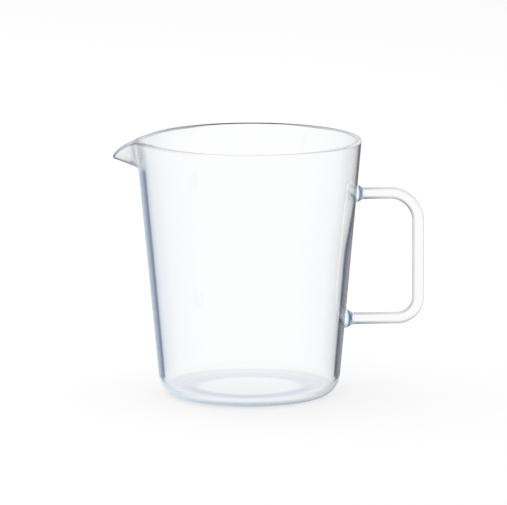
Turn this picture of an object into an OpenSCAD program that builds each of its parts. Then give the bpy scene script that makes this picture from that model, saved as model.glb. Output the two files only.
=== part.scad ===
// Glass tea pitcher: a blown, tapered body with a pulled spout and a bent glass rod for a handle.
// Millimetres. The origin is the middle of the base on the table, +Z is up, the handle points
// along +X and the spout along -X.

/* [Body] */
// Outside diameter of the rim
rim_d = 100; // [84:1:120]
// Outside diameter that the straight wall's line reaches at the table
foot_d = 79; // [68:1:96]
// Height from the table to the top of the rim
body_h = 114; // [100:1:140]
// Thickness of the wall
wall_t = 2.4; // [1.6:0.1:3.6]
// Thickness of the base
base_t = 3; // [2:0.1:5]
// How far the heel draws in from the wall's line at the table
heel_run = 6.4; // [4:0.1:10]
// Height of the heel's curve
heel_rise = 9; // [7:0.1:14]

/* [Spout] */
// Length of wall below the rim that is pulled into the spout
spout_drop = 12.7; // [10:0.1:18]
// Length of wall at the throat, over which the pulled wall bends outwards
throat_run = 4; // [3:0.1:8]
// Angle through which the middle of the spout is bent outwards
spout_curl = 58.5; // [40:0.5:75]
// Width of the spout between its flanks, measured round the rim
spout_w = 3.7; // [3:0.1:10]
// How much longer the middle of the spout is drawn
spout_stretch = 2.2; // [0:0.1:3]
// How far the rim is drawn down at the spout
rim_dip = 2.5; // [0:0.1:3]
// Width of the rim that is drawn down, measured round the rim
dip_w = 5.2; // [4:0.1:12]
// How far the rim on both sides of the spout is drawn inwards
flank_in = 3.2; // [0:0.1:4]
// Width of the rim that is drawn inwards, measured round the rim
flank_w = 85; // [60:1:110]
// How far the root of the spout stands out from the rim that is drawn inwards
root_out = 4.6; // [0:0.1:6]
// Width of the spout's root, measured round the rim
root_w = 22; // [14:0.5:34]

/* [Handle] */
// Diameter of the handle's rod
rod_d = 5.2; // [4:0.1:7]
// Clear space for the fingers, from the wall at the upper arm to the grip
finger_gap = 24.8; // [20:0.1:34]
// Drop from the top of the rim to the middle of the upper arm
arm_below_rim = 25; // [20:0.1:32]
// Distance between the middles of the two arms
arm_spacing = 56.2; // [44:0.1:64]
// Radius of the upper bend at the middle of the rod
upper_bend_r = 12.5; // [6:0.1:14]
// Radius of the lower bend at the middle of the rod
lower_bend_r = 9.3; // [6:0.1:14]

/* [Welds] */
// How far the upper weld stands out round the rod where it meets the wall
upper_weld_swell = 1.3; // [0.6:0.1:3]
// Length of the upper weld along the arm
upper_weld_l = 3.4; // [2:0.1:6]
// How far the lower weld stands out round the rod where it meets the wall
lower_weld_swell = 1.6; // [0.6:0.1:3]
// Length of the lower weld along the arm
lower_weld_l = 4.2; // [2:0.1:6]

/* [Hidden] */
$fn = 96;

// Glass colours: clear wall, clear rod, and the deeper blue of thick weld glass
body_colour = [0.86, 0.91, 0.95];
rod_colour = [0.90, 0.92, 0.94];
weld_colour = [0.42, 0.60, 0.74];

// Steps round the body, and how strongly they crowd towards the spout (0 is even)
columns = 108;
crowding = 0.88;
// Steps along the heel, the throat, the rest of the pulled wall, the half-round lip and a weld's flare
heel_steps = 6;
throat_steps = 5;
pull_steps = 5;
lip_steps = 8;
flare_steps = 10;

// The bells that shape the spout fall to a half at half_bell of their reach
half_bell = sqrt(ln(2));
// Bends smaller than this angle are taken as straight
straight_angle = 0.01;

degree = 180 / PI;
lean = atan((rim_d - foot_d) / 2 / body_h);
spout_reach = spout_w / rim_d * degree / half_bell;
dip_reach = dip_w / rim_d * degree / half_bell;
flank_reach = flank_w / rim_d * degree / half_bell;
root_reach = root_w / rim_d * degree / half_bell;

// The middle of the glass, as a straight line from the table up to the middle of the lip
mid_foot_r = foot_d / 2 - wall_t / 2 / cos(lean);
mid_length = (body_h - wall_t / 2) / cos(lean);
pull_start = mid_length - spout_drop;

// The heel inside the body starts at the floor and ends level with the heel outside
inner_heel_run = heel_run - wall_t / 2;
inner_heel_rise = heel_rise - base_t;

rod_r = rod_d / 2;
upper_arm_z = body_h - arm_below_rim;
lower_arm_z = upper_arm_z - arm_spacing;
grip_x = seat_x(upper_arm_z) + finger_gap + rod_r;

// Outside radius of the straight wall at a height
function wall_r(z) = foot_d / 2 + z * tan(lean);

// Where an arm's middle line meets the wall, to a hundredth of a millimetre
function seat_x(z) = round(wall_r(z) * 100) / 100;

// Inside radius of the straight wall at a height
function bore_r(z) = wall_r(z) - wall_t / cos(lean);

// Smooth bell over an angle round the body from the spout, one at the spout's middle
function bell(turn, reach) = exp(-pow(turn / reach, 2));

// Radius and height of a point of the pulled wall: along is its distance up the middle of the
// glass from the start of the pull, out its distance outwards from there, tip its distance past
// the end of the middle line
function pulled(turn, along, out, tip = 0) =
    let (
        pull = bell(turn, spout_reach),
        longer = spout_stretch * pull - rim_dip * bell(turn, dip_reach),
        share = 1 + longer / spout_drop,
        bent = share * min(along, throat_run),
        rest = share * max(along - throat_run, 0),
        bend = spout_curl * pull * min(along / throat_run, 1),
        arc = bend / degree,
        straight = bend < straight_angle,
        side = straight ? bent * arc / 2 : bent * (1 - cos(bend)) / arc,
        rise = straight ? bent : bent * sin(bend) / arc,
        stand = root_out * bell(turn, root_reach) - flank_in * bell(turn, flank_reach),
        off = side + stand * pow(along / spout_drop, 2) + out * cos(bend) + (rest + tip) * sin(bend),
        up = pull_start + rise - out * sin(bend) + (rest + tip) * cos(bend)
    )
    [mid_foot_r + off * cos(lean) + up * sin(lean), up * cos(lean) - off * sin(lean)];

// Distances up the pulled wall of its points, close together in the throat
pull_points = concat(
    [for (i = [0 : throat_steps]) throat_run * i / throat_steps],
    [for (i = [1 : pull_steps]) throat_run + (spout_drop - throat_run) * i / pull_steps]
);

// Heel outside the body, from the table up to the straight wall
heel_outside = [
    for (i = [0 : heel_steps])
        let (a = 90 * i / heel_steps - 90, z = heel_rise * (1 + sin(a)))
        [wall_r(z) - heel_run * (1 - cos(a)), z]
];

// Heel inside the body, from the straight wall down to the floor
heel_inside = [
    for (i = [heel_steps : -1 : 0])
        let (a = 90 * i / heel_steps - 90, z = base_t + inner_heel_rise * (1 + sin(a)))
        [bore_r(z) - inner_heel_run * (1 - cos(a)), z]
];

// Section of the glass at an angle from the spout: up the outside, over the lip, down the inside
function section(turn) = concat(
    heel_outside,
    [for (along = pull_points) pulled(turn, along, wall_t / 2)],
    [
        for (i = [1 : lip_steps - 1])
            let (a = 180 * i / lip_steps)
            pulled(turn, spout_drop, wall_t / 2 * cos(a), wall_t / 2 * sin(a))
    ],
    [for (i = [len(pull_points) - 1 : -1 : 0]) pulled(turn, pull_points[i], -wall_t / 2)],
    heel_inside
);

// Angle from the spout of a step round the body
function turn_at(i) =
    let (even = 360 * i / columns - 180)
    even - crowding * degree * sin(even);

// One piece of blown glass: base, wall, lip and spout
module body() {
    sections = [for (i = [0 : columns - 1]) section(turn_at(i))];
    rows = len(sections[0]);
    points = [
        for (i = [0 : columns - 1])
            let (turn = turn_at(i))
            for (p = sections[i]) [-p[0] * cos(turn), -p[0] * sin(turn), p[1]]
    ];
    skin = [
        for (i = [0 : columns - 1], j = [0 : rows - 2])
            let (a = i * rows + j, b = (i + 1) % columns * rows + j)
            for (f = [[a, a + 1, b + 1], [a, b + 1, b]]) f
    ];
    underside = [for (i = [0 : columns - 1]) i * rows];
    floor_inside = [for (i = [columns - 1 : -1 : 0]) i * rows + rows - 1];
    color(body_colour)
        polyhedron(points, concat(skin, [underside, floor_inside]), convexity = 8);
}

// Solid of the body's outside without the spout, which the welds are seated on
module wall_seat() {
    rotate_extrude()
        polygon(concat(heel_outside, [[wall_r(body_h), body_h], [0, body_h], [0, 0]]));
}

// Length of an arm of the handle, straight along +X
module arm(start_x, end_x, z) {
    translate([start_x, 0, z])
        rotate([0, 90, 0])
            cylinder(h = end_x - start_x, r = rod_r);
}

// Quarter bend of the rod in the XZ plane, round the middle of the bend
module bend(middle_x, middle_z, bend_r, from_angle) {
    translate([middle_x, 0, middle_z])
        rotate([90, 0, 0])
            rotate([0, 0, from_angle])
                rotate_extrude(angle = 90)
                    translate([bend_r, 0])
                        circle(r = rod_r);
}

// One glass rod, bent twice into a square loop that is open towards the wall
module handle_rod() {
    upper_bend_x = grip_x - upper_bend_r;
    upper_bend_z = upper_arm_z - upper_bend_r;
    lower_bend_x = grip_x - lower_bend_r;
    lower_bend_z = lower_arm_z + lower_bend_r;
    color(rod_colour)
        union() {
            arm(seat_x(upper_arm_z) + upper_weld_l, upper_bend_x, upper_arm_z);
            bend(upper_bend_x, upper_bend_z, upper_bend_r, 0);
            translate([grip_x, 0, lower_bend_z])
                cylinder(h = upper_bend_z - lower_bend_z, r = rod_r);
            bend(lower_bend_x, lower_bend_z, lower_bend_r, -90);
            arm(seat_x(lower_arm_z) + lower_weld_l, lower_bend_x, lower_arm_z);
        }
}

// Bead of melted glass round the end of an arm: it swells towards the wall and is seated on it
module weld(z, swell, length) {
    flare = [
        for (i = [0 : flare_steps])
            let (x = length * i / flare_steps)
            [rod_r + swell * (1 + cos(180 * x / length)) / 2, x]
    ];
    sunk = -wall_t;
    color(weld_colour)
        difference() {
            translate([seat_x(z), 0, z])
                rotate([0, 90, 0])
                    rotate_extrude()
                        polygon(concat([[0, sunk], [rod_r + swell, sunk]], flare, [[0, length]]));
            wall_seat();
        }
}

// Weld that joins the upper arm to the wall
module upper_weld() {
    weld(upper_arm_z, upper_weld_swell, upper_weld_l);
}

// Weld that joins the lower arm to the wall
module lower_weld() {
    weld(lower_arm_z, lower_weld_swell, lower_weld_l);
}

body();
handle_rod();
upper_weld();
lower_weld();
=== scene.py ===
import math

import bmesh
import bpy
from mathutils import Euler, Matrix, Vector


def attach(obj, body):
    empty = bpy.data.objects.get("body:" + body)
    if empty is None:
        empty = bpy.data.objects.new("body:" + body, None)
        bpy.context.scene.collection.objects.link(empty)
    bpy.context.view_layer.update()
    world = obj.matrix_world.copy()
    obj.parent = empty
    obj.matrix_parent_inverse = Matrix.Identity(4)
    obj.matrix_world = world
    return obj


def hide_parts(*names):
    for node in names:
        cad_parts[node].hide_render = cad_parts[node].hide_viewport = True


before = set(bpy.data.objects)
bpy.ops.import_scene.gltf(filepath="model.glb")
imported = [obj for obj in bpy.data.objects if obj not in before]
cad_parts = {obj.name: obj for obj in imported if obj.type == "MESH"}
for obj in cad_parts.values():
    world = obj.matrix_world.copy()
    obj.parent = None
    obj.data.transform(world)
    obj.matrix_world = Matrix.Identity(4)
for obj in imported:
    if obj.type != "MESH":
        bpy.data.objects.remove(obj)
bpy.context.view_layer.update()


# Body. One piece of clear heat-proof glass, blown to a tapered cup with a flat base, a rounded heel
# and a fire-polished rim. While the rim was soft, a narrow strip of it was pulled out into the
# spout, and the rim beside it drew inwards a little. Sizes are in metres.
rim_d = 0.100
foot_d = 0.079
body_h = 0.114
wall_t = 0.0024
base_t = 0.003
heel_run = 0.0064
heel_rise = 0.009
spout_drop = 0.0127
throat_run = 0.004
spout_curl = math.radians(58.5)
spout_w = 0.0037
spout_stretch = 0.0022
rim_dip = 0.0025
dip_w = 0.0052
flank_in = 0.0032
flank_w = 0.085
root_out = 0.0046
root_w = 0.022

# The middle of the wall, as a straight line from the table up to the middle of the lip
lean = math.atan((rim_d - foot_d) / 2 / body_h)
mid_foot_r = foot_d / 2 - wall_t / 2 / math.cos(lean)
mid_length = (body_h - wall_t / 2) / math.cos(lean)
pull_start = mid_length - spout_drop

# Steps of the mesh, how strongly its columns crowd towards the spout (0 is even), the distance within
# which points are one, and a bend too small to see, so that a straight strip has a bend radius too
base_steps = 6
heel_steps = 14
wall_steps = 24
pull_steps = 28
lip_steps = 20
body_columns = 480
body_crowding = 0.8
merge_distance = 1e-7
least_bend = 1e-6

# Painted shade at the wall's edges: the share left low on the heel and at the rim, how far below the
# rim it starts to fade and over what run, and the width at the spout that keeps it
heel_edge_shade = 0.2
rim_edge_shade = 0.55
fade_start = 0.05
fade_run = 0.02
fade_w = 0.15

# Painted dark line along the rim: its strength, how much weaker it and the painted shade at the
# edges are at the spout, how much paler the line is at the handle, and the width of both
rim_line = 1.15
spout_shade_fade = 0.9
handle_shade_fade = 0.85
shade_fade_w = 0.075

# Spout: painted shade on the outside of the lip, a painted blue shade line round its end, and its haze
lip_shade = 0.6
lip_w = 0.05
line_rise = 0.0003
line_run = 0.0003
line_w = 0.012
softness = 0.55
soft_w = 0.018

# Blue under the base, partly the thick glass's own and partly painted shade, from its middle out: the
# flat, a ring, the ring's outer side, the flat's edge, whose blue is painted shade where the glass
# meets the table, and the lower half of the heel, and how far the ring's outer side is from the flat's
# edge
base_blue_and_shade = 0.15
ring_blue_and_shade = 0.9
edge_blue_and_shade = 0.6
contact_shade = 0.3
heel_blue_and_shade = 0.25
contact_w = 0.002


def wall_r(z):
    """Outside radius of the straight wall at a height."""
    return foot_d / 2 + z * math.tan(lean)


def bell_reach(width):
    """Angle that makes a bell round the body this wide at half its height."""
    return width / rim_d / math.sqrt(math.log(2))


def in_wall(along, out):
    """Radius and height of a point along the middle of the wall from the table, and out from it."""
    return (
        mid_foot_r + along * math.sin(lean) + out * math.cos(lean),
        along * math.cos(lean) - out * math.sin(lean),
    )


def heel(start_z, run, rise, bore):
    """Quarter curve from a flat face at start_z up to the straight wall, bore in from its outside."""
    curve = []
    for i in range(heel_steps + 1):
        a = math.pi / 2 * (i / heel_steps - 1)
        z = start_z + rise * (1 + math.sin(a))
        curve.append((wall_r(z) - bore - run * (1 - math.cos(a)), z))
    return curve


def flat_face(edge, z):
    """Points from the axis out to an edge's radius, at a height."""
    return [(edge * i / base_steps, z) for i in range(base_steps)]


def body_section():
    """Section of the glass: out along the underside, up the outside, over the lip, down the inside."""
    outer_heel = heel(0, heel_run, heel_rise, 0)
    inner_heel = heel(base_t, heel_run - wall_t / 2, heel_rise - base_t, wall_t / math.cos(lean))
    heel_top = heel_rise / math.cos(lean)
    straight = [heel_top + (pull_start - heel_top) * i / wall_steps for i in range(1, wall_steps + 1)]
    pulled = [pull_start + spout_drop * i / pull_steps for i in range(1, pull_steps + 1)]
    lip = []
    for i in range(1, lip_steps):
        a = math.pi * i / lip_steps
        lip.append(in_wall(mid_length + wall_t / 2 * math.sin(a), wall_t / 2 * math.cos(a)))
    contact = (outer_heel[0][0] - contact_w, 0)
    underside = flat_face(contact[0], 0) + [contact]
    outside = outer_heel + [in_wall(along, wall_t / 2) for along in straight + pulled]
    inside = flat_face(inner_heel[0][0], base_t) + inner_heel
    inside += [in_wall(along, -wall_t / 2) for along in straight + pulled]

    # Marks for the glass's painted shade and blue, one number for each point of the section
    over = len(lip) // 2
    below = len(underside + outside)
    rest = len(lip) - over + len(inside)
    wall_marks = [1] * (len(straight + pulled) + over)
    heel_marks = [max(2 * i / heel_steps - 1, heel_edge_shade) for i in range(heel_steps + 1)]
    contact_marks = [base_blue_and_shade] * (base_steps - 1) + [ring_blue_and_shade, edge_blue_and_shade, contact_shade]
    contact_marks += [heel_blue_and_shade] * (heel_steps // 2)
    marks = {
        "outside": [0] * len(underside) + heel_marks + wall_marks + [0] * rest,
        "lip": [0] * below + [1] * over + [0] * rest,
        "beak": [0] * (below - len(pulled)) + [1] * (len(pulled) + over) + [0] * rest,
        "shaded": [0] * (below + over) + [1] * (len(lip) - over) + [0] * len(inside),
        "blue_and_shade": contact_marks + [0] * (below + over + rest - len(contact_marks)),
    }
    return underside + outside + lip + inside[::-1], marks


def calc(tree, operation, *terms):
    """Math node in a tree, whose terms are sockets or plain numbers."""
    node = tree.nodes.new("ShaderNodeMath")
    node.operation = operation
    for socket, term in zip(node.inputs, terms):
        if isinstance(term, (int, float)):
            socket.default_value = term
        else:
            tree.links.new(term, socket)
    return node.outputs[0]


def new_tree(name, inputs):
    """Geometry Nodes tree with a geometry going in and out, and named inputs."""
    tree = bpy.data.node_groups.new(name, "GeometryNodeTree")
    tree.interface.new_socket("Geometry", in_out="INPUT", socket_type="NodeSocketGeometry")
    for label, kind in inputs.items():
        tree.interface.new_socket(label, in_out="INPUT", socket_type="NodeSocket" + kind)
    tree.interface.new_socket("Geometry", in_out="OUTPUT", socket_type="NodeSocketGeometry")
    return tree, tree.nodes.new("NodeGroupInput").outputs, tree.nodes.new("NodeGroupOutput").inputs


def named_value(tree, label):
    """Value of a point attribute in a tree."""
    named = tree.nodes.new("GeometryNodeInputNamedAttribute")
    named.inputs["Name"].default_value = label
    return named.outputs["Attribute"]


def stored(tree, shape, label, value):
    """Shape with a value stored on its points as a named attribute."""
    keep = tree.nodes.new("GeometryNodeStoreNamedAttribute")
    keep.inputs["Name"].default_value = label
    tree.links.new(shape, keep.inputs["Geometry"])
    tree.links.new(value, keep.inputs["Value"])
    return keep.outputs["Geometry"]


def finish_tree(tree, given, shape, out):
    """Shade a tree's shape smooth, realize it and give it the material input."""
    smooth = tree.nodes.new("GeometryNodeSetShadeSmooth")
    realize = tree.nodes.new("GeometryNodeRealizeInstances")
    finish = tree.nodes.new("GeometryNodeSetMaterial")
    tree.links.new(shape, smooth.inputs["Geometry"])
    tree.links.new(smooth.outputs["Geometry"], realize.inputs["Geometry"])
    tree.links.new(realize.outputs["Geometry"], finish.inputs["Geometry"])
    tree.links.new(given["Material"], finish.inputs["Material"])
    tree.links.new(finish.outputs["Geometry"], out["Geometry"])


def spin_tree():
    """Tree that spins a section, a row of points in the XZ plane, round the Z axis.

    Crowding, from 0 to 1, draws the columns together towards the section's own plane.
    """
    tree, given, out = new_tree("spin_section", {"Columns": "Int", "Crowding": "Float"})
    count = tree.nodes.new("GeometryNodeAttributeDomainSize")
    grid = tree.nodes.new("GeometryNodeMeshGrid")
    index = tree.nodes.new("GeometryNodeInputIndex").outputs[0]
    sample = tree.nodes.new("GeometryNodeSampleIndex")
    sample.data_type = "FLOAT_VECTOR"
    turn = tree.nodes.new("ShaderNodeVectorRotate")
    turn.rotation_type = "Z_AXIS"
    place = tree.nodes.new("GeometryNodeSetPosition")
    close = tree.nodes.new("GeometryNodeMergeByDistance")
    close.inputs["Distance"].default_value = merge_distance
    rows = count.outputs["Point Count"]
    column = calc(tree, "FLOOR", calc(tree, "DIVIDE", index, rows))
    even = calc(tree, "DIVIDE", calc(tree, "MULTIPLY", column, math.tau), given["Columns"])
    crowded = calc(tree, "MULTIPLY", given["Crowding"], calc(tree, "SINE", even))
    angle = calc(tree, "SUBTRACT", even, crowded)
    position = tree.nodes.new("GeometryNodeInputPosition").outputs[0]
    tree.links.new(given["Geometry"], count.inputs["Geometry"])
    tree.links.new(calc(tree, "ADD", given["Columns"], 1), grid.inputs["Vertices X"])
    tree.links.new(rows, grid.inputs["Vertices Y"])
    tree.links.new(given["Geometry"], sample.inputs["Geometry"])
    tree.links.new(position, sample.inputs["Value"])
    row = calc(tree, "FLOORED_MODULO", index, rows)
    tree.links.new(row, sample.inputs["Index"])
    tree.links.new(sample.outputs["Value"], turn.inputs["Vector"])
    tree.links.new(angle, turn.inputs["Angle"])
    tree.links.new(grid.outputs["Mesh"], place.inputs["Geometry"])
    tree.links.new(turn.outputs["Vector"], place.inputs["Position"])
    shape = place.outputs["Geometry"]
    for label in ("outside", "shaded", "lip", "beak", "blue_and_shade"):
        value = tree.nodes.new("GeometryNodeSampleIndex")
        tree.links.new(given["Geometry"], value.inputs["Geometry"])
        tree.links.new(named_value(tree, label), value.inputs["Value"])
        tree.links.new(row, value.inputs["Index"])
        shape = stored(tree, shape, label, value.outputs["Value"])
    tree.links.new(shape, close.inputs["Geometry"])
    tree.links.new(close.outputs["Geometry"], out["Geometry"])
    return tree


spin_section = spin_tree()


def spun(tree, given):
    """Spin group placed in a tree, on the tree's own geometry, columns and crowding."""
    group = tree.nodes.new("GeometryNodeGroup")
    group.node_tree = spin_section
    for label in ("Geometry", "Columns", "Crowding"):
        tree.links.new(given[label], group.inputs[label])
    return group.outputs["Geometry"]


def bell(tree, turn, reach):
    """Smooth bell over an angle from the spout, one at the spout's middle."""
    share = calc(tree, "DIVIDE", turn, reach)
    return calc(tree, "EXPONENT", calc(tree, "MULTIPLY", calc(tree, "MULTIPLY", share, share), -1))


def body_tree():
    """Tree that spins the body's section, then bends the wall below the rim outwards at the spout."""
    tree, given, out = new_tree("blown_body", {
        "Columns": "Int",
        "Crowding": "Float",
        "Lean": "Float",
        "Pull radius": "Float",
        "Pull height": "Float",
        "Spout drop": "Float",
        "Throat run": "Float",
        "Spout curl": "Float",
        "Spout reach": "Float",
        "Spout stretch": "Float",
        "Rim dip": "Float",
        "Dip reach": "Float",
        "Flank in": "Float",
        "Flank reach": "Float",
        "Root out": "Float",
        "Root reach": "Float",
        "Spout shade fade": "Float",
        "Shade fade reach": "Float",
        "Rim line": "Float",
        "Handle shade fade": "Float",
        "Lip shade": "Float",
        "Soft reach": "Float",
        "Lip reach": "Float",
        "Line height": "Float",
        "Line run": "Float",
        "Line reach": "Float",
        "Fade height": "Float",
        "Fade run": "Float",
        "Fade reach": "Float",
        "Rim edge shade": "Float",
        "Material": "Material",
    })
    split = tree.nodes.new("ShaderNodeSeparateXYZ")
    join = tree.nodes.new("ShaderNodeCombineXYZ")
    place = tree.nodes.new("GeometryNodeSetPosition")
    tree.links.new(tree.nodes.new("GeometryNodeInputPosition").outputs[0], split.inputs[0])
    x, y, z = split.outputs
    turn = calc(tree, "ARCTAN2", y, calc(tree, "MULTIPLY", x, -1))
    squares = calc(tree, "ADD", calc(tree, "MULTIPLY", x, x), calc(tree, "MULTIPLY", y, y))
    radius = calc(tree, "SQRT", squares)
    cos_lean = calc(tree, "COSINE", given["Lean"])
    sin_lean = calc(tree, "SINE", given["Lean"])
    drop = given["Spout drop"]

    # Distances up the wall from the start of the pull, and outwards from the middle of the glass
    off_r = calc(tree, "SUBTRACT", radius, given["Pull radius"])
    off_z = calc(tree, "SUBTRACT", z, given["Pull height"])
    along = calc(tree, "MULTIPLY_ADD", off_r, sin_lean, calc(tree, "MULTIPLY", off_z, cos_lean))
    outward = calc(tree, "MULTIPLY", off_r, cos_lean)
    outward = calc(tree, "SUBTRACT", outward, calc(tree, "MULTIPLY", off_z, sin_lean))
    up = calc(tree, "MINIMUM", calc(tree, "MAXIMUM", along, 0), drop)
    tip = calc(tree, "MAXIMUM", calc(tree, "SUBTRACT", along, drop), 0)
    below = calc(tree, "MINIMUM", along, 0)

    # The pulled strip is drawn longer at the spout and shorter beside it
    run = given["Throat run"]
    pull = bell(tree, turn, given["Spout reach"])
    dip = calc(tree, "MULTIPLY", given["Rim dip"], bell(tree, turn, given["Dip reach"]))
    longer = calc(tree, "SUBTRACT", calc(tree, "MULTIPLY", given["Spout stretch"], pull), dip)
    share = calc(tree, "ADD", calc(tree, "DIVIDE", longer, drop), 1)
    bent = calc(tree, "MULTIPLY", share, calc(tree, "MINIMUM", up, run))
    rest = calc(tree, "MULTIPLY", share, calc(tree, "MAXIMUM", calc(tree, "SUBTRACT", up, run), 0))
    end = calc(tree, "ADD", rest, tip)

    # The strip follows an arc through the throat and is straight from there to its tip
    turned = calc(tree, "MINIMUM", calc(tree, "DIVIDE", up, run), 1)
    curl = calc(tree, "MULTIPLY", given["Spout curl"], pull)
    angle = calc(tree, "MULTIPLY_ADD", curl, turned, least_bend)
    sin_bend = calc(tree, "SINE", angle)
    cos_bend = calc(tree, "COSINE", angle)
    half = calc(tree, "SINE", calc(tree, "DIVIDE", angle, 2))
    arc_r = calc(tree, "DIVIDE", bent, angle)
    side = calc(tree, "MULTIPLY", calc(tree, "MULTIPLY", half, half), 2)
    side = calc(tree, "MULTIPLY", side, arc_r)
    rise = calc(tree, "MULTIPLY", sin_bend, arc_r)
    side = calc(tree, "MULTIPLY_ADD", outward, cos_bend, side)
    side = calc(tree, "MULTIPLY_ADD", end, sin_bend, side)
    rise = calc(tree, "SUBTRACT", rise, calc(tree, "MULTIPLY", outward, sin_bend))
    rise = calc(tree, "ADD", calc(tree, "MULTIPLY_ADD", end, cos_bend, rise), below)

    # The rim on both sides of the spout is drawn inwards, and the spout's root stands out from it
    height = calc(tree, "DIVIDE", up, drop)
    root = calc(tree, "MULTIPLY", given["Root out"], bell(tree, turn, given["Root reach"]))
    flank = calc(tree, "MULTIPLY", given["Flank in"], bell(tree, turn, given["Flank reach"]))
    stand = calc(tree, "SUBTRACT", root, flank)
    side = calc(tree, "MULTIPLY_ADD", stand, calc(tree, "MULTIPLY", height, height), side)

    # The painted shade at the edges is weaker towards the spout, and away from the spout it fades
    # towards the rim
    near_spout = calc(tree, "MULTIPLY", bell(tree, turn, given["Shade fade reach"]), height)
    left = calc(tree, "SUBTRACT", 1, calc(tree, "MULTIPLY", near_spout, given["Spout shade fade"]))
    fade = calc(tree, "DIVIDE", calc(tree, "SUBTRACT", z, given["Fade height"]), given["Fade run"])
    fade = calc(tree, "MINIMUM", calc(tree, "MAXIMUM", fade, 0), 1)
    from_spout = calc(tree, "SUBTRACT", 1, bell(tree, turn, given["Fade reach"]))
    fade = calc(tree, "MULTIPLY", fade, from_spout)
    fade = calc(tree, "MULTIPLY", fade, calc(tree, "SUBTRACT", 1, given["Rim edge shade"]))
    kept = calc(tree, "MULTIPLY", calc(tree, "SUBTRACT", 1, fade), left)
    outside = calc(tree, "MULTIPLY", named_value(tree, "outside"), kept)

    # A painted dark line lies along the inside of the lip, paler at the spout and at the handle. The
    # outside of the lip beside the spout and the pulled strip itself get painted shade too
    lip = calc(tree, "MULTIPLY", named_value(tree, "lip"), bell(tree, turn, given["Lip reach"]))
    lip = calc(tree, "MULTIPLY", lip, given["Lip shade"])
    from_handle = calc(tree, "SUBTRACT", math.pi, calc(tree, "ABSOLUTE", turn))
    at_handle = bell(tree, from_handle, given["Shade fade reach"])
    at_handle = calc(tree, "MULTIPLY", at_handle, given["Handle shade fade"])
    rim_shade_strength = calc(tree, "MULTIPLY", left, calc(tree, "SUBTRACT", 1, at_handle))
    rim_shade_strength = calc(tree, "MINIMUM", calc(tree, "MULTIPLY", rim_shade_strength, given["Rim line"]), 1)
    shaded = calc(tree, "MULTIPLY_ADD", named_value(tree, "shaded"), rim_shade_strength, lip)
    beak = calc(tree, "MULTIPLY", named_value(tree, "beak"), calc(tree, "MULTIPLY", pull, height))
    shaded = calc(tree, "MAXIMUM", shaded, beak)

    # A painted blue shade line runs round the end of the spout, and the glass there is a little hazy
    top = calc(tree, "SUBTRACT", along, given["Line height"])
    top = calc(tree, "DIVIDE", top, given["Line run"])
    top = calc(tree, "MINIMUM", calc(tree, "MAXIMUM", top, 0), 1)
    line = calc(tree, "MULTIPLY", top, named_value(tree, "beak"))
    line = calc(tree, "MULTIPLY", line, bell(tree, turn, given["Line reach"]))
    blue_and_shade = calc(tree, "MAXIMUM", named_value(tree, "blue_and_shade"), line)
    soft = calc(tree, "MULTIPLY", bell(tree, turn, given["Soft reach"]), calc(tree, "SQRT", height))

    # The spun section gets its marks first, while its wall is straight, and then its places
    shape = spun(tree, given)
    shape = stored(tree, shape, "soft", soft)
    shape = stored(tree, shape, "outside", outside)
    shape = stored(tree, shape, "blue_and_shade", blue_and_shade)
    shape = stored(tree, shape, "shaded", shaded)
    new_r = calc(tree, "MULTIPLY", side, cos_lean)
    new_r = calc(tree, "ADD", new_r, calc(tree, "MULTIPLY", rise, sin_lean))
    new_r = calc(tree, "ADD", new_r, given["Pull radius"])
    new_z = calc(tree, "MULTIPLY", rise, cos_lean)
    new_z = calc(tree, "SUBTRACT", new_z, calc(tree, "MULTIPLY", side, sin_lean))
    new_z = calc(tree, "ADD", new_z, given["Pull height"])
    to_spout = calc(tree, "MULTIPLY", new_r, calc(tree, "COSINE", turn))
    tree.links.new(calc(tree, "MULTIPLY", to_spout, -1), join.inputs["X"])
    tree.links.new(calc(tree, "MULTIPLY", new_r, calc(tree, "SINE", turn)), join.inputs["Y"])
    tree.links.new(new_z, join.inputs["Z"])
    tree.links.new(shape, place.inputs["Geometry"])
    tree.links.new(join.outputs[0], place.inputs["Position"])
    finish_tree(tree, given, place.outputs["Geometry"], out)
    return tree


def made_piece(name, points, tree, inputs, marks):
    """Piece that a tree makes from a row of points, as a plain closed mesh with its faces outwards."""
    row = bpy.data.meshes.new(name)
    row.from_pydata(points, [(i, i + 1) for i in range(len(points) - 1)], [])
    for label, values in marks.items():
        row.attributes.new(label, "FLOAT", "POINT").data.foreach_set("value", values)
    piece = bpy.data.objects.new(name, row)
    bpy.context.scene.collection.objects.link(piece)
    modifier = piece.modifiers.new(tree.name, "NODES")
    modifier.node_group = tree
    for item in tree.interface.items_tree:
        if item.name in inputs:
            modifier[item.identifier] = inputs[item.name]
    evaluated = piece.evaluated_get(bpy.context.evaluated_depsgraph_get())
    piece.data = bpy.data.meshes.new_from_object(evaluated)
    piece.modifiers.clear()
    mesh = bmesh.new()
    mesh.from_mesh(piece.data)
    bmesh.ops.recalc_face_normals(mesh, faces=mesh.faces)
    mesh.to_mesh(piece.data)
    mesh.free()
    return piece


# Figure of worked glass: scale and detail of its ripple and of its fine lines, the height of a line
# as a share of the ripple's, and its haze, which grows with the lines from a start to a full value
ripple_scale = 45
ripple_detail = 1
line_scale = 400
line_detail = 3
line_height = 0.08
haze_start = 0.45
haze_full = 0.75
most_haze = 0.03


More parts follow.
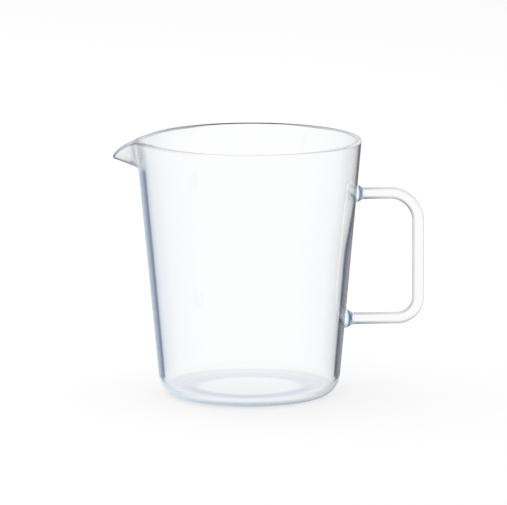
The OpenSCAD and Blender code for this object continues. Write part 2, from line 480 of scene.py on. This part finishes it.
def figure_group():
    """Shader group of worked glass: a slow ripple, fine lines and a trace of haze, all drawn out."""
    group = bpy.data.node_groups.new("worked_glass_figure", "ShaderNodeTree")
    inputs = {"Vector": "Vector", "Ripple scale": "Float", "Line scale": "Float", "Stretch": "Vector"}
    for label, kind in inputs.items():
        group.interface.new_socket(label, in_out="INPUT", socket_type="NodeSocket" + kind)
    for label in ("Height", "Haze"):
        group.interface.new_socket(label, in_out="OUTPUT", socket_type="NodeSocketFloat")
    given = group.nodes.new("NodeGroupInput").outputs
    out = group.nodes.new("NodeGroupOutput").inputs
    stretch = group.nodes.new("ShaderNodeVectorMath")
    stretch.operation = "MULTIPLY"
    ripple = group.nodes.new("ShaderNodeTexNoise")
    lines = group.nodes.new("ShaderNodeTexNoise")
    haze = group.nodes.new("ShaderNodeMapRange")
    ripple.inputs["Detail"].default_value = ripple_detail
    lines.inputs["Detail"].default_value = line_detail
    haze.inputs["From Min"].default_value = haze_start
    haze.inputs["From Max"].default_value = haze_full
    haze.inputs["To Max"].default_value = most_haze
    group.links.new(given["Vector"], stretch.inputs[0])
    group.links.new(given["Stretch"], stretch.inputs[1])
    group.links.new(stretch.outputs[0], ripple.inputs["Vector"])
    group.links.new(stretch.outputs[0], lines.inputs["Vector"])
    group.links.new(given["Ripple scale"], ripple.inputs["Scale"])
    group.links.new(given["Line scale"], lines.inputs["Scale"])
    height = calc(group, "MULTIPLY_ADD", lines.outputs[0], line_height, ripple.outputs[0])
    group.links.new(height, out["Height"])
    group.links.new(lines.outputs[0], haze.inputs["Value"])
    group.links.new(haze.outputs[0], out["Haze"])
    return group


glass_figure = figure_group()


def colour_ramp(tree, value, stops):
    """Colour ramp over a value, in a material or the world, from stops of a position and a colour."""
    ramp = tree.nodes.new("ShaderNodeValToRGB")
    for position, colour in stops[1:-1]:
        ramp.color_ramp.elements.new(position)
    for stop, (position, colour) in zip(ramp.color_ramp.elements, stops):
        stop.position = position
        stop.color = (*colour, 1)
    tree.links.new(value, ramp.inputs["Fac"])
    return ramp.outputs["Color"]


def ramp_by_facing(tree, stops, shift=0):
    """Colour ramp in a material, over how far the surface is turned from the light's way through it."""
    facing = tree.nodes.new("ShaderNodeLayerWeight").outputs["Facing"]
    return colour_ramp(tree, calc(tree, "SUBTRACT", facing, shift), stops)


def mask(tree, label):
    """Mask in a material from a point attribute of the mesh."""
    marks = tree.nodes.new("ShaderNodeAttribute")
    marks.attribute_name = label
    return marks.outputs["Fac"]


def mixed(tree, factor, first, second, way="MIX"):
    """Mix of two colours, sockets or plain ones, by a factor, in a material or the world."""
    mix = tree.nodes.new("ShaderNodeMix")
    mix.data_type = "RGBA"
    mix.blend_type = way
    for label, colour in (("A", first), ("B", second)):
        if isinstance(colour, tuple):
            mix.inputs[label].default_value = (*colour, 1)
        else:
            tree.links.new(colour, mix.inputs[label])
    tree.links.new(factor, mix.inputs["Factor"])
    return mix.outputs["Result"]


# Clear glass: its refractive index, white, the gain that makes all but the faintest marks full ones,
# how far a faint mark shifts the painted shade at the edges, and the bounces after which light goes
# straight on
glass_ior = 1.47
white = (1, 1, 1)
mark_gain = 4
band_shift = 0.06
trapped_bounces = 9


def glass(name, edge, shade, blue_and_shade, tint, density, shadow, ripple, stretch):
    """Clear glass with painted shade where light goes through its surface at a shallow angle.

    The edge's colours are painted shade for light that leaves at the marks named outside, the shade's
    colours a painted dark line for light that enters at the marks named shaded, and the third colour,
    partly the glass's own blue and partly painted shade, goes both ways at the marks of its own name.
    Tint and density colour its depth, shadow the light that it lets through to the floor. Ripple is
    the height of its figure, which stretch draws out.
    """
    material = bpy.data.materials.new(name)
    material.use_nodes = True
    tree = material.node_tree
    shader = tree.nodes["Principled BSDF"]
    out = tree.nodes["Material Output"]
    shader.inputs["IOR"].default_value = glass_ior
    shader.inputs["Transmission Weight"].default_value = 1

    # Base colour: painted shade, by how far the surface is turned, where light leaves at the outside
    # marks or enters at the shaded marks, and a blue that is partly the glass's own and partly painted
    # shade
    leaving = tree.nodes.new("ShaderNodeNewGeometry").outputs["Backfacing"]
    entering = calc(tree, "SUBTRACT", 1, leaving)
    marks = mask(tree, "outside")
    outside = calc(tree, "MINIMUM", calc(tree, "MULTIPLY", marks, mark_gain), 1)
    outside = calc(tree, "MULTIPLY", leaving, outside)
    shaded = calc(tree, "MULTIPLY", entering, mask(tree, "shaded"))
    shift = calc(tree, "MULTIPLY", calc(tree, "SUBTRACT", 1, marks), band_shift)
    colour = mixed(tree, outside, white, ramp_by_facing(tree, edge, shift), "MULTIPLY")
    colour = mixed(tree, shaded, colour, ramp_by_facing(tree, shade), "MULTIPLY")
    colour = mixed(tree, mask(tree, "blue_and_shade"), colour, blue_and_shade, "MULTIPLY")
    tree.links.new(colour, shader.inputs["Base Color"])

    place = tree.nodes.new("ShaderNodeTexCoord")
    figure = tree.nodes.new("ShaderNodeGroup")
    figure.node_tree = glass_figure
    figure.inputs["Ripple scale"].default_value = ripple_scale
    figure.inputs["Line scale"].default_value = line_scale
    figure.inputs["Stretch"].default_value = stretch
    bump = tree.nodes.new("ShaderNodeBump")
    bump.inputs["Strength"].default_value = 1
    bump.inputs["Distance"].default_value = ripple
    tree.links.new(place.outputs["Object"], figure.inputs["Vector"])
    tree.links.new(figure.outputs["Height"], bump.inputs["Height"])
    haze = calc(tree, "MULTIPLY_ADD", mask(tree, "soft"), softness, figure.outputs["Haze"])
    tree.links.new(haze, shader.inputs["Roughness"])
    tree.links.new(bump.outputs["Normal"], shader.inputs["Normal"])

    depth = tree.nodes.new("ShaderNodeVolumeAbsorption")
    depth.inputs["Color"].default_value = (*tint, 1)
    depth.inputs["Density"].default_value = density
    path = tree.nodes.new("ShaderNodeLightPath")
    clear = tree.nodes.new("ShaderNodeBsdfTransparent")
    clear.inputs["Color"].default_value = (*shadow, 1)
    mix = tree.nodes.new("ShaderNodeMixShader")
    trapped = calc(tree, "GREATER_THAN", path.outputs["Ray Depth"], trapped_bounces)
    tree.links.new(calc(tree, "MAXIMUM", path.outputs["Is Shadow Ray"], trapped), mix.inputs["Fac"])
    tree.links.new(shader.outputs[0], mix.inputs[1])
    tree.links.new(clear.outputs[0], mix.inputs[2])
    tree.links.new(mix.outputs[0], out.inputs["Surface"])
    tree.links.new(depth.outputs[0], out.inputs["Volume"])
    return material


# Body glass. Its edge colours are painted shade, dark blue-grey where light leaves the wall at a
# shallow angle, its shade colour a black painted dark line where light enters the lip, and its blue
# partly the glass's own and partly painted shade.
body_glass = glass(
    "body_glass",
    edge=(
        (0.05, white),
        (0.15, (0.90, 0.905, 0.92)),
        (0.205, (0.73, 0.735, 0.76)),
        (0.225, (0.39, 0.42, 0.45)),
        (0.231, (0.005, 0.007, 0.03)),
        (0.2385, (0.01, 0.015, 0.045)),
        (0.250, (0.07, 0.08, 0.14)),
        (0.267, (0.22, 0.23, 0.28)),
    ),
    shade=((0.10, white), (0.22, (0, 0, 0.001))),
    blue_and_shade=(0.30, 0.36, 0.56),
    tint=(0.2, 0.45, 0.65),
    density=6,
    shadow=(0.965, 0.965, 0.965),
    ripple=0.00002,
    stretch=(1, 1, 0.25),
)
pull_r, pull_z = in_wall(pull_start, 0)
section, shell_marks = body_section()
body = made_piece(
    "glass_body",
    [(-r, 0, z) for r, z in section],
    body_tree(),
    {
        "Columns": body_columns,
        "Crowding": body_crowding,
        "Lean": lean,
        "Pull radius": pull_r,
        "Pull height": pull_z,
        "Spout drop": spout_drop,
        "Throat run": throat_run,
        "Spout curl": spout_curl,
        "Spout reach": bell_reach(spout_w),
        "Spout stretch": spout_stretch,
        "Rim dip": rim_dip,
        "Dip reach": bell_reach(dip_w),
        "Flank in": flank_in,
        "Flank reach": bell_reach(flank_w),
        "Root out": root_out,
        "Root reach": bell_reach(root_w),
        "Spout shade fade": spout_shade_fade,
        "Shade fade reach": bell_reach(shade_fade_w),
        "Rim line": rim_line,
        "Handle shade fade": handle_shade_fade,
        "Lip shade": lip_shade,
        "Soft reach": bell_reach(soft_w),
        "Lip reach": bell_reach(lip_w),
        "Line height": spout_drop + line_rise,
        "Line run": line_run,
        "Line reach": bell_reach(line_w),
        "Fade height": body_h - fade_start,
        "Fade run": fade_run,
        "Fade reach": bell_reach(fade_w),
        "Rim edge shade": rim_edge_shade,
        "Material": body_glass,
    },
    shell_marks,
)
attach(body, "root")
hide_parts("body")


# Handle. One round rod of the same clear glass, softened and bent twice into a square loop. Its two
# arms end in the welds on the wall, and the lower arm is the longer one, because the wall tapers.
rod_d = 0.0052
finger_gap = 0.0248
arm_below_rim = 0.025
arm_spacing = 0.0562
upper_bend_r = 0.0125
lower_bend_r = 0.0093
upper_weld_l = 0.0034
lower_weld_l = 0.0042
rod_in_weld = 0.0004
bend_steps = 28
rod_sides = 64

# Painted dark line along the rod: its strength on the inner side, what it gains on the underside of
# the upper bend, and its strength on top
inner_line = 0.6
bend_line = 1.2
top_line = 0.45

upper_arm_z = body_h - arm_below_rim
lower_arm_z = upper_arm_z - arm_spacing
grip_x = wall_r(upper_arm_z) + finger_gap + rod_d / 2


def rod_tree():
    """Tree that rounds the corners of a path by its bend_r attribute and draws a round rod along it."""
    tree, given, out = new_tree("bent_rod", {
        "Diameter": "Float",
        "Sides": "Int",
        "Bend steps": "Int",
        "Inner line": "Float",
        "Bend line": "Float",
        "Top line": "Float",
        "Material": "Material",
    })
    path = tree.nodes.new("GeometryNodeMeshToCurve")
    fillet = tree.nodes.new("GeometryNodeFilletCurve")
    fillet.mode = "POLY"
    circle = tree.nodes.new("GeometryNodeCurvePrimitiveCircle")
    draw = tree.nodes.new("GeometryNodeCurveToMesh")
    draw.inputs["Fill Caps"].default_value = True
    close = tree.nodes.new("GeometryNodeMergeByDistance")
    close.inputs["Distance"].default_value = merge_distance
    tree.links.new(given["Geometry"], path.inputs[0])
    tree.links.new(path.outputs[0], fillet.inputs["Curve"])
    tree.links.new(named_value(tree, "bend_r"), fillet.inputs["Radius"])
    tree.links.new(given["Bend steps"], fillet.inputs["Count"])
    tree.links.new(given["Sides"], circle.inputs["Resolution"])
    tree.links.new(calc(tree, "DIVIDE", given["Diameter"], 2), circle.inputs["Radius"])
    tree.links.new(fillet.outputs["Curve"], draw.inputs["Curve"])
    tree.links.new(circle.outputs["Curve"], draw.inputs["Profile Curve"])
    tree.links.new(draw.outputs["Mesh"], close.inputs["Geometry"])
    # Marks for the painted dark line: on the inner side, more under the upper bend, and on top
    normal = tree.nodes.new("ShaderNodeSeparateXYZ")
    tree.links.new(tree.nodes.new("GeometryNodeInputNormal").outputs[0], normal.inputs[0])
    inner = calc(tree, "MAXIMUM", calc(tree, "MULTIPLY", normal.outputs["X"], -1), 0)
    under = calc(tree, "MAXIMUM", calc(tree, "MULTIPLY", normal.outputs["Z"], -1), 0)
    top = calc(tree, "MAXIMUM", normal.outputs["Z"], 0)
    dark = calc(tree, "MULTIPLY_ADD", under, given["Bend line"], given["Inner line"])
    dark = calc(tree, "MULTIPLY_ADD", top, given["Top line"], calc(tree, "MULTIPLY", inner, dark))
    dark = calc(tree, "MINIMUM", dark, 1)
    finish_tree(tree, given, stored(tree, close.outputs["Geometry"], "shaded", dark), out)
    return tree


# Handle glass. Its edge colour is a faint painted shade where light leaves the rod at a shallow angle,
# and its shade colour a black painted dark line where light enters at its marks.
handle_glass = glass(
    "handle_glass",
    edge=((0.10, white), (0.22, (0.9, 0.9, 0.93))),
    shade=((0.08, white), (0.28, (0, 0, 0.001))),
    blue_and_shade=white,
    tint=(0.4, 0.45, 0.5),
    density=12,
    shadow=(0.965, 0.965, 0.965),
    ripple=0.00001,
    stretch=(1, 1, 1),
)
handle = made_piece(
    "glass_handle",
    [
        (wall_r(upper_arm_z) + upper_weld_l - rod_in_weld, 0, upper_arm_z),
        (grip_x, 0, upper_arm_z),
        (grip_x, 0, lower_arm_z),
        (wall_r(lower_arm_z) + lower_weld_l - rod_in_weld, 0, lower_arm_z),
    ],
    rod_tree(),
    {
        "Diameter": rod_d,
        "Sides": rod_sides,
        "Bend steps": bend_steps,
        "Inner line": inner_line,
        "Bend line": bend_line,
        "Top line": top_line,
        "Material": handle_glass,
    },
    {"bend_r": [0, upper_bend_r, lower_bend_r, 0], "outside": [1, 1, 1, 1]},
)
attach(handle, "root")
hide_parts("handle_rod")


# Welds. A bead of glass melted round each end of the rod joins it to the wall: it swells towards
# the wall and sinks a little way into it. The thick glass looks blue from the side.
upper_weld_swell = 0.0013
lower_weld_swell = 0.0016
weld_in_wall = 0.0009
flare_steps = 20
weld_columns = 72

# Blue ring round a weld: its place as a share of the weld's length, and how far it fades to each side
blue_x = 0.4
blue_run = 0.001


def weld_tree():
    """Tree that spins a weld's section, then lays its axis along +X at its place on the wall."""
    tree, given, out = new_tree("weld_bead", {
        "Columns": "Int",
        "Crowding": "Float",
        "Place": "Vector",
        "Material": "Material",
    })
    lay = tree.nodes.new("GeometryNodeTransform")
    lay.inputs["Rotation"].default_value = Euler((0, math.pi / 2, 0))
    tree.links.new(spun(tree, given), lay.inputs["Geometry"])
    tree.links.new(given["Place"], lay.inputs["Translation"])
    finish_tree(tree, given, lay.outputs["Geometry"], out)
    return tree


def weld_section(swell, length):
    """Section of a weld about the arm's middle line, from inside the wall out to the rod."""
    flare = [(rod_d / 2 + swell, -weld_in_wall)]
    for i in range(flare_steps + 1):
        x = length * i / flare_steps
        flare.append((rod_d / 2 + swell * (1 + math.cos(math.pi * x / length)) / 2, x))
    return [(0, -weld_in_wall), *flare, (0, length)]


# Weld glass. Its edge colour is a blue painted shade where light leaves at a shallow angle; its blue
# ring is the thick glass's own colour.
weld_glass = glass(
    "weld_glass",
    edge=((0.05, white), (0.27, (0.3, 0.45, 0.6))),
    shade=((0.3, white), (0.9, (0.6, 0.75, 0.85))),
    blue_and_shade=(0.02, 0.12, 0.28),
    tint=(0.1, 0.45, 0.68),
    density=10,
    shadow=(0.85, 0.9, 0.93),
    ripple=0.00004,
    stretch=(1, 1, 1),
)
weld_bead = weld_tree()
for name, z, swell, length in (
    ("upper_weld", upper_arm_z, upper_weld_swell, upper_weld_l),
    ("lower_weld", lower_arm_z, lower_weld_swell, lower_weld_l),
):
    section = weld_section(swell, length)
    weld = made_piece(
        name + "_bead",
        [(-r, 0, x) for r, x in section],
        weld_bead,
        {"Columns": weld_columns, "Place": (wall_r(z), 0, z), "Material": weld_glass},
        {
            "outside": [1] * len(section),
            "blue_and_shade": [max(1 - abs(x - blue_x * length) / blue_run, 0) for r, x in section],
        },
    )
    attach(weld, "root")
    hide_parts(name)


# Floor. One sheet of plain white paper, matt, that lies flat under the pitcher and runs far past the
# camera's view. It takes the soft shadow, and the camera sees a share of it as its own plain white.
floor_half = 6.0
floor_gap = 0.0001
sheet_colour = (0.9, 0.9, 0.9)
sheet_white = 0.55
corners = ((-1, -1), (1, -1), (1, 1), (-1, 1))
floor_mesh = bpy.data.meshes.new("floor")
floor_mesh.from_pydata([(x * floor_half, y * floor_half, 0) for x, y in corners], [], [(0, 1, 2, 3)])
floor = bpy.data.objects.new("floor", floor_mesh)
floor.location.z = -floor_gap
bpy.context.scene.collection.objects.link(floor)
white_sheet = bpy.data.materials.new("white_sheet")
white_sheet.use_nodes = True
sheet = white_sheet.node_tree
sheet_shader = sheet.nodes["Principled BSDF"]
sheet_shader.inputs["Base Color"].default_value = (*sheet_colour, 1)
sheet_shader.inputs["Roughness"].default_value = 1
sheet_shader.inputs["Specular IOR Level"].default_value = 0
sheet_ray = sheet.nodes.new("ShaderNodeLightPath").outputs
sheet_glow = sheet.nodes.new("ShaderNodeEmission")
sheet_mix = sheet.nodes.new("ShaderNodeMixShader")
own_white = calc(sheet, "MULTIPLY", sheet_ray["Is Camera Ray"], sheet_white)
sheet.links.new(own_white, sheet_mix.inputs["Fac"])
sheet.links.new(sheet_shader.outputs[0], sheet_mix.inputs[1])
sheet.links.new(sheet_glow.outputs[0], sheet_mix.inputs[2])
sheet.links.new(sheet_mix.outputs[0], sheet.nodes["Material Output"].inputs["Surface"])
floor_mesh.materials.append(white_sheet)
floor.visible_glossy = False
floor.visible_transmission = False


# Studio. A white surround lights the glass evenly, and one large soft lamp at the upper left gives the
# shadow its direction. Seen through the glass, the room is greyer overhead. In reflections it is
# dimmer low down behind the pitcher, from pale blue at the left to warm grey at the right.
surround_light = (0.92, 0.92, 0.92)
overhead = ((0.56, white), (0.72, (0.62, 0.64, 0.68)))
low_behind = ((0.48, (0.7, 0.85, 1)), (0.56, (0.22, 0.20, 0.15)))
low_from, low_full = 0.04, -0.06
behind_from, behind_full = 0.1, 0.5
key_d = 0.9
key_power = 8
key_place = Vector((-0.8, 0.5, 1.2))

world = bpy.data.worlds.new("studio")
bpy.context.scene.world = world
world.use_nodes = True
studio = world.node_tree
ray = studio.nodes.new("ShaderNodeLightPath").outputs
direction = studio.nodes.new("ShaderNodeSeparateXYZ")
studio.links.new(studio.nodes.new("ShaderNodeTexCoord").outputs["Generated"], direction.inputs[0])


def share_of_way(value, start, full):
    """Share in the studio's tree, from 0 to 1, of a value's way from a start to a full value."""
    share = studio.nodes.new("ShaderNodeMapRange")
    share.inputs["From Min"].default_value = start
    share.inputs["From Max"].default_value = full
    studio.links.new(value, share.inputs["Value"])
    return share.outputs[0]


def positive(axis):
    """Direction along an axis in the studio's tree, moved from -1 to 1 to between 0 and 1."""
    return calc(studio, "MULTIPLY_ADD", direction.outputs[axis], 0.5, 0.5)


seen = calc(studio, "MAXIMUM", ray["Is Camera Ray"], ray["Is Transmission Ray"])
mirrored = calc(studio, "MULTIPLY", ray["Is Glossy Ray"], ray["Is Reflection Ray"])
fresh = calc(studio, "LESS_THAN", ray["Ray Depth"], trapped_bounces + 1)
mirrored = calc(studio, "MULTIPLY", mirrored, fresh)
low = share_of_way(direction.outputs["Z"], low_from, low_full)
behind = share_of_way(direction.outputs["Y"], behind_from, behind_full)
dimmed = calc(studio, "MULTIPLY", low, behind)
lit_room = mixed(studio, seen, surround_light, colour_ramp(studio, positive("Z"), overhead))
mirror_room = mixed(studio, dimmed, white, colour_ramp(studio, positive("X"), low_behind))
surround = studio.nodes["Background"]
studio.links.new(mixed(studio, mirrored, lit_room, mirror_room), surround.inputs["Color"])
surround.inputs["Strength"].default_value = 1

key = bpy.data.lights.new("soft_key", "AREA")
key.shape = "DISK"
key.size = key_d
key.energy = key_power
key_lamp = bpy.data.objects.new("soft_key", key)
key_lamp.location = key_place
key_lamp.rotation_euler = (-key_lamp.location).to_track_quat("-Z", "Y").to_euler()
key_lamp.visible_glossy = False
key_lamp.visible_transmission = False
bpy.context.scene.collection.objects.link(key_lamp)


# Camera. A long lens some way off, a little above the rim and a little to the spout's side, at the
# photograph's angle. Its sensor and its lens are in millimetres, and light may bounce often enough
# to find its way through four layers of glass and back.
view_distance = 2.477
view_elevation = math.radians(9.89)
view_azimuth = math.radians(-3)
view_roll = math.radians(-0.213)
view_centre = Vector((0, 0, body_h / 2))
aim_right = 0.002
aim_up = 0.006
sensor_w = 36
lens_length = 396.8
most_bounces = 32

camera = bpy.data.cameras.new("camera")
camera.sensor_width = sensor_w
camera.lens = lens_length
camera_object = bpy.data.objects.new("camera", camera)
back = Vector((
    math.sin(view_azimuth) * math.cos(view_elevation),
    -math.cos(view_azimuth) * math.cos(view_elevation),
    math.sin(view_elevation),
))
right = Vector((math.cos(view_azimuth), math.sin(view_azimuth), 0))
camera_object.location = view_centre + view_distance * back
aim = view_centre + aim_right * right + Vector((0, 0, aim_up)) - camera_object.location
camera_object.rotation_mode = "QUATERNION"
camera_object.rotation_quaternion = aim.to_track_quat("-Z", "Y")
camera_object.rotation_quaternion @= Euler((0, 0, view_roll)).to_quaternion()
bpy.context.scene.collection.objects.link(camera_object)
bpy.context.scene.camera = camera_object

bpy.context.scene.view_settings.view_transform = "Standard"
cycles = bpy.context.scene.cycles
cycles.max_bounces = most_bounces
cycles.glossy_bounces = most_bounces
cycles.transmission_bounces = most_bounces
cycles.transparent_max_bounces = most_bounces
